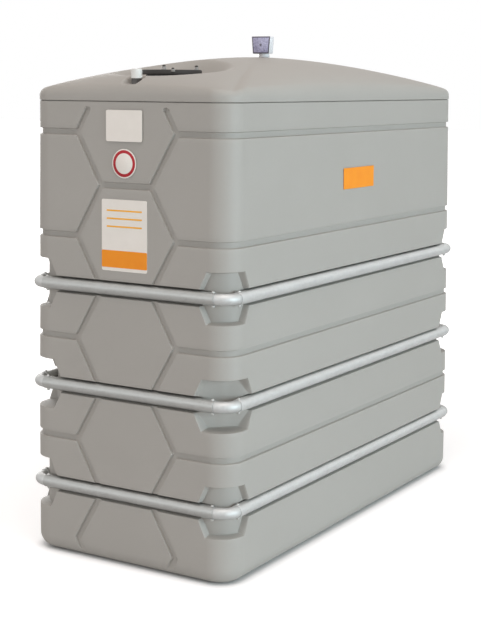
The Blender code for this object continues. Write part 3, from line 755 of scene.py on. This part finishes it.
def bands():
    reach_x, reach_y = HALF_WIDTH - TUBE_END_TO_CORNER, HALF_LENGTH - TUBE_END_TO_CORNER
    for index, band in enumerate(BAND_NAMES):
        level = band_level(index)
        for end, name in ENDS:
            y = end * BAND_Y
            node = f"band_{band}_{name}_tube"
            tube = straight_tube("round_" + node, (-reach_x, y, level), (reach_x, y, level),
                                 (0.0, end, 0.0))
            dress(tube, STEEL_X_PAINTED_SHADE, "tube_steel", node)
            for side, side_name in SIDES:
                bolt(f"bolt_{band}_{name}_{side_name}", side * (HALF_WIDTH - BOLT_TO_CORNER), y,
                     level)
        for side, name in SIDES:
            x = side * BAND_X
            node = f"band_{band}_{name}_tube"
            tube = straight_tube("round_" + node, (x, -reach_y, level), (x, reach_y, level),
                                 (side, 0.0, 0.0))
            dress(tube, STEEL_Y_PAINTED_LIGHT, "tube_steel", node)
            for end, end_name in ENDS:
                bolt(f"bolt_{band}_{name}_{end_name}_side", x, end * (HALF_LENGTH - BOLT_TO_CORNER),
                     level)
        for end, end_name in ENDS:
            for side, side_name in SIDES:
                node = f"band_{band}_elbow_{end_name}_{side_name}"
                dress(elbow("round_" + node, side, end, level), ELBOW_STEEL, "elbow_steel", node)


# Manhole, filler and gauge

def on_cover(radius, degrees):
    """Place on the cover, with degrees counted from +X towards +Y."""
    turn = math.radians(degrees)
    return radius * math.cos(turn), MANHOLE_Y + radius * math.sin(turn)


def manhole():
    base = 0.0078
    cover = [(0.0, base), (0.099, base), (0.102, base + 0.002), (0.102, base + 0.0125),
             (0.1005, base + 0.0152), (0.0975, base + 0.0160), (0.0700, base + 0.0160),
             (0.0685, base + 0.0145), (0.0560, base + 0.0145), (0.0545, base + 0.0160),
             (0.0, base + 0.0160)]
    disc = turned("manhole_cover_disc", cover, (0.0, MANHOLE_Y, PLATFORM_Z), 96)
    dress(disc, BLACK, "cover_black", "manhole_cover")
    top = PLATFORM_Z + base + 0.0158
    knob = [(0.0, 0.0), (0.0078, 0.0), (0.0076, 0.0030), (0.0066, 0.0060), (0.0062, 0.0100),
            (0.0048, 0.0106), (0.0, 0.0108)]
    crown = [(0.0, 0.0102), (0.0056, 0.0102), (0.0059, 0.0116), (0.0052, 0.0142), (0.0028, 0.0154),
             (0.0, 0.0156)]
    for name, degrees in (("near", 287.6), ("far", 47.6)):
        x, y = on_cover(0.086, degrees)
        dress(turned(f"cover_knob_{name}", knob, (x, y, top), 24), LUG_GREY, "cover_black")
        dress(turned(f"cover_knob_{name}_screw", crown, (x, y, top), 20), BLACK, "cover_black")
    catch = [(0.0, -0.0070), (0.0082, -0.0070), (0.0088, -0.0060), (0.0088, 0.0006),
             (0.0078, 0.0016), (0.0, 0.0018)]
    x, y = on_cover(0.0965, 307.0)
    dress(turned("cover_catch", catch, (x, y, top), 28), LUG_GREY, "cover_black")
    dress(turned("cover_catch_screw", [(0.0, 0.0016), (0.0046, 0.0016), (0.0044, 0.0050),
                                       (0.0030, 0.0062), (0.0, 0.0064)], (x, y, top), 20),
          BLACK, "cover_black")


def ribbed(name, profile_radii, centre, ribs, rib_depth):
    """An upright moulding with ribs down its sides. The profile is (radius, height, rib share)."""
    sides = ribs * 6
    angles = np.arange(sides) * 2 * math.pi / sides
    wave = 0.5 - 0.5 * np.cos(angles * ribs)
    rings = []
    for radius, height, share in profile_radii:
        reach = radius - rib_depth * share * wave
        rings.append(np.stack([centre[0] + reach * np.cos(angles), centre[1] + reach * np.sin(angles),
                               np.full(sides, centre[2] + height)], 1))
    first, last = profile_radii[0][1], profile_radii[-1][1]
    return from_rings(name, rings, (centre[0], centre[1], centre[2] + first),
                      (centre[0], centre[1], centre[2] + last))


def filler():
    place = (0.0, FILLER_Y, NOTCH_Z)
    neck = [(0.0165, 0.0003, 0.0), (0.0165, 0.0020, 0.0), (0.0165, 0.0030, 1.0),
            (0.0165, 0.0165, 1.0), (0.0165, 0.0175, 0.0), (0.0160, 0.0190, 0.0)]
    dress(ribbed("filler_neck_ribbed", neck, place, 20, 0.0012), RIB_GREY, "neck_grey", "filler_neck")
    cap = [(0.0172, 0.0193, 0.0), (0.0180, 0.0201, 0.0), (0.0180, 0.0215, 1.0),
           (0.0178, 0.0440, 1.0), (0.0175, 0.0470, 0.4), (0.0160, 0.0498, 0.0),
           (0.0130, 0.0508, 0.0), (0.0060, 0.0510, 0.0)]
    dress(ribbed("filler_cap_grip", cap, place, 24, 0.0007), CAP_WHITE, "cap_white", "filler_cap")


def shield(name, bottom_width, top_width, bottom, top, front, back, edge, segments):
    """A box seen from the front as a shield, eased on every edge."""
    bm = bmesh.new()
    corners = []
    for y in (front, back):
        for x, z in ((-bottom_width / 2, bottom), (bottom_width / 2, bottom),
                     (top_width / 2, top), (-top_width / 2, top)):
            corners.append(bm.verts.new((x, y, z)))
    for face in ((0, 1, 2, 3), (7, 6, 5, 4), (0, 4, 5, 1), (1, 5, 6, 2), (2, 6, 7, 3), (3, 7, 4, 0)):
        bm.faces.new([corners[k] for k in face])
    bmesh.ops.bevel(bm, geom=bm.edges[:], offset=edge, segments=segments, profile=0.5,
                    affect="EDGES")
    return from_bmesh(name, bm)


def gauge():
    stem = [(0.0, 0.0003), (0.0188, 0.0003), (0.0195, 0.0012), (0.0195, 0.0115), (0.0182, 0.0130),
            (0.0, 0.0130)]
    dress(turned("gauge_stem_turned", stem, (0.0, 0.0, CREST_Z), 48), WHITE, "gauge_white",
          "gauge_stem")
    top = GAUGE_BASE + GAUGE_HEAD_HEIGHT
    front = GAUGE_FRONT
    head = shield("gauge_head_moulding", 0.070, 0.080, GAUGE_BASE, top, front,
                  front + GAUGE_HEAD_DEPTH, 0.004, 3)
    dress(head, WHITE, "gauge_white", "gauge_head")
    rim = shield("gauge_window_frame", 0.0685, 0.0785, GAUGE_BASE + 0.0006, top - 0.0006,
                 front - 0.0016, front + 0.0005, 0.0010, 2)
    dress(rim, FRAME_GREY, "gauge_window", "gauge_window")
    face = shield("gauge_window_face", 0.0590, 0.0690, GAUGE_BASE + 0.0052, top - 0.0052,
                  front - 0.0023, front - 0.0010, 0.0005, 2)
    dress(face, WINDOW, "gauge_window")
    disc_on_face("gauge_pointer", 0.0042, 0.0010, FRAME_GREY, "gauge_window", 0.0,
                 GAUGE_BASE + 0.033, front - 0.0031)


# Plates, signs and stickers

def plate(name, width, height, thickness, corner, material, slot, place, faces="-y"):
    """A thin plate with round corners, lying on the front face or on the right long side."""
    bm = bmesh.new()
    size = Matrix.Diagonal((width, height, thickness, 1.0))
    bmesh.ops.create_cube(bm, size=1.0, matrix=size)
    upright = [e for e in bm.edges if abs(e.verts[0].co.z - e.verts[1].co.z) > thickness / 2]
    bmesh.ops.bevel(bm, geom=upright, offset=corner, segments=5, profile=0.5, affect="EDGES")
    if faces == "-y":
        turn = Matrix(((1, 0, 0), (0, 0, -1), (0, 1, 0))).to_4x4()
    else:
        turn = Matrix(((0, 0, 1), (1, 0, 0), (0, 1, 0))).to_4x4()
    bmesh.ops.transform(bm, matrix=Matrix.Translation(place) @ turn, verts=bm.verts)
    return dress(from_bmesh(name, bm), material, slot)


def disc_on_face(name, radius, thickness, material, slot, x, z, front):
    angles = np.arange(64) * 2 * math.pi / 64
    rings = []
    for reach, y in ((radius, front + thickness), (radius, front + 0.0002), (radius - 0.0003, front)):
        rings.append(np.stack([x + reach * np.cos(angles), np.full(64, y),
                               z + reach * np.sin(angles)], 1))
    piece = from_rings(name, rings, (x, front + thickness, z), (x, front, z))
    return dress(piece, material, slot)


def labels():
    face = -HALF_LENGTH
    lay = face - 0.0006
    plate("plate_bare", 0.143, 0.1015, 0.0012, 0.006, PLATE, "plate_white",
          (-0.0049, lay + 0.0002, PARTING_HEIGHT - 0.0778))
    for name, radius, proud, material, slot in (
            ("round_sign_disc", 0.0475, 0.0008, PLATE, "plate_white"),
            ("round_sign_rim", 0.0435, 0.0011, RED, "print_red"),
            ("round_sign_middle", 0.0335, 0.0014, PLATE, "plate_white")):
        disc_on_face(name, radius, 0.0012, material, slot, -0.0045, PARTING_HEIGHT - 0.199,
                     face - proud)
    plate("label_white", 0.1806, 0.2335, 0.0010, 0.006, PLATE, "plate_white",
          (-0.0043, lay + 0.0002, PARTING_HEIGHT - 0.4323))
    plate("label_band", 0.1806, 0.0560, 0.0004, 0.004, ORANGE, "print_orange",
          (-0.0043, lay - 0.0004, PARTING_HEIGHT - 0.5100))
    for k in range(3):
        plate(f"label_rule_{k + 1}", 0.140, 0.0050, 0.0004, 0.001, AMBER, "print_orange",
              (-0.0043, lay - 0.0004, PARTING_HEIGHT - 0.352 - 0.026 * k))
    plate("side_sticker", 0.236, 0.0745, 0.0008, 0.003, ORANGE, "print_orange",
          (HALF_WIDTH + 0.0003, -HALF_LENGTH + 0.866, PARTING_HEIGHT - 0.2728), "x")


# Camera, floor and light

def aim_camera():
    """The photograph's own view, solved from the tank's edges, grooves and tubes."""
    place = (2.66635, -4.49095, 1.5896)
    yaw, pitch, roll = (math.radians(a) for a in (121.6233, -5.2613, 0.3610))
    focal_pixels, image_height, principal_row = 1398.82, 632.0, 212.0
    forward = Vector((math.cos(pitch) * math.cos(yaw), math.cos(pitch) * math.sin(yaw),
                      math.sin(pitch)))
    right = forward.cross(Vector((0.0, 0.0, 1.0))).normalized()
    up = right.cross(forward)
    tilted_right = math.cos(roll) * right + math.sin(roll) * up
    tilted_up = math.cos(roll) * up - math.sin(roll) * right
    data = bpy.data.cameras.new("view")
    data.sensor_fit = "VERTICAL"
    data.sensor_height = 36.0
    data.sensor_width = 36.0
    data.lens = focal_pixels * data.sensor_height / image_height
    data.shift_y = -(image_height / 2 - principal_row) / image_height
    camera = bpy.data.objects.new("view", data)
    turn = Matrix((tilted_right, tilted_up, -forward)).transposed().to_4x4()
    camera.matrix_world = Matrix.Translation(place) @ turn
    bpy.context.scene.collection.objects.link(camera)
    bpy.context.scene.camera = camera


def pale_floor():
    """A wide floor that shows as white away from the tank's shadow.

    The camera alone sees its glow, which fades out where the tank touches it: a painted contact
    shadow.
    """
    bm = bmesh.new()
    bmesh.ops.create_grid(bm, x_segments=1, y_segments=1, size=40.0)
    floor = from_bmesh("pale_floor", bm)
    finish = Finish("pale_floor_paint", roughness=0.9, base_color=(0.80, 0.80, 0.80))
    seen = finish.node("LightPath", output="Is Camera Ray")
    corner = (HALF_WIDTH - CORNER_RADIUS, HALF_LENGTH - CORNER_RADIUS, 0.0)
    spot = finish.node("VectorMath", {"operation": "ABSOLUTE"}, {0: finish.place()})
    spot = finish.node("VectorMath", {"operation": "SUBTRACT"}, {0: spot, 1: corner})
    spot = finish.node("VectorMath", {"operation": "MAXIMUM"}, {0: spot, 1: (0.0, 0.0, 0.0)})
    reach = finish.node("VectorMath", {"operation": "LENGTH"}, {0: spot}, 1) - CORNER_RADIUS
    # Painted contact shadow: the camera-only glow fades to nothing within a few centimetres of the
    # tank's footprint.
    close = finish.node("MapRange", {"interpolation_type": "SMOOTHSTEP"},
                        {"Value": reach, "From Min": -0.035, "From Max": 0.035})
    away = finish.node("MapRange", {}, {"Value": reach, "From Min": 0.8, "From Max": 3.5})
    nothing = finish.node("Emission", {}, {"Color": (0.0, 0.0, 0.0), "Strength": 0.0})
    near_glow = finish.node("Emission", {}, {"Color": (1.0, 1.0, 1.0), "Strength": 0.44})
    far_glow = finish.node("Emission", {}, {"Color": (1.0, 1.0, 1.0), "Strength": 0.90})
    painted_contact_shadow = finish.node("MixShader", {}, {0: close, 1: nothing, 2: near_glow})
    glow = finish.node("MixShader", {}, {0: away, 1: painted_contact_shadow, 2: far_glow})
    only_seen = finish.node("MixShader", {}, {0: seen, 1: nothing, 2: glow})
    base = Socket(finish.tree, finish.shader.outputs[0])
    both = finish.node("AddShader", {}, {0: base, 1: only_seen})
    finish.tree.links.new(both.socket, finish.tree.nodes["Material Output"].inputs["Surface"])
    floor.data.materials.append(finish.material)


def area_lamp(name, place, target, size, power, colour):
    data = bpy.data.lights.new(name, "AREA")
    data.shape = "RECTANGLE"
    data.size = size
    data.size_y = size
    data.energy = power
    data.color = colour
    lamp = bpy.data.objects.new(name, data)
    lamp.location = place
    lamp.rotation_euler = (Vector(target) - Vector(place)).to_track_quat("-Z", "Y").to_euler()
    bpy.context.scene.collection.objects.link(lamp)


def studio_light():
    bpy.context.scene.view_settings.view_transform = "Standard"
    world = bpy.data.worlds.new("studio")
    bpy.context.scene.world = world
    world.use_nodes = True
    tree = world.node_tree
    paths = tree.nodes.new("ShaderNodeLightPath")
    seen = Socket(tree, paths.outputs["Is Camera Ray"])
    glossy = Socket(tree, paths.outputs["Is Glossy Ray"])
    through = Socket(tree, paths.outputs["Is Transmission Ray"])
    white = seen.combine("MAXIMUM", seen, seen.combine("MAXIMUM", glossy, through))
    world_light = 0.336
    strength = world_light + white * (1.0 - world_light)
    tree.links.new(strength.socket, tree.nodes["Background"].inputs["Strength"])
    tint = tree.nodes.new("ShaderNodeMix")
    tint.data_type = "RGBA"
    tint.inputs[6].default_value = (1.0, 0.93, 0.90, 1.0)
    tint.inputs[7].default_value = (1.0, 1.0, 1.0, 1.0)
    tree.links.new(white.socket, tint.inputs["Factor"])
    tree.links.new(tint.outputs[2], tree.nodes["Background"].inputs["Color"])
    area_lamp("right_softbox", (9.0, -1.0, 0.8), (0.4, 0.0, 0.8), 5.0, 765.0, (0.75, 0.92, 1.0))
    area_lamp("front_softbox", (-2.8, -7.5, 2.4), (0.0, -0.9, 0.5), 4.5, 96.0, (0.93, 0.97, 1.0))
    area_lamp("back_softbox", (-8.0, 6.0, 1.5), (0.0, 0.0, 0.9), 5.0, 400.0, (1.0, 0.98, 0.96))
    area_lamp("top_softbox", (1.4, -2.4, 8.8), (0.0, 0.0, 1.6), 6.0, 386.0, (1.0, 0.92, 0.885))


tank_skin()
lid_skin()
bands()
manhole()
filler()
gauge()
labels()
collar_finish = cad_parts["manhole_collar"].data.materials
collar_finish.clear()
collar_finish.append(RIB_GREY)
aim_camera()
pale_floor()
studio_light()
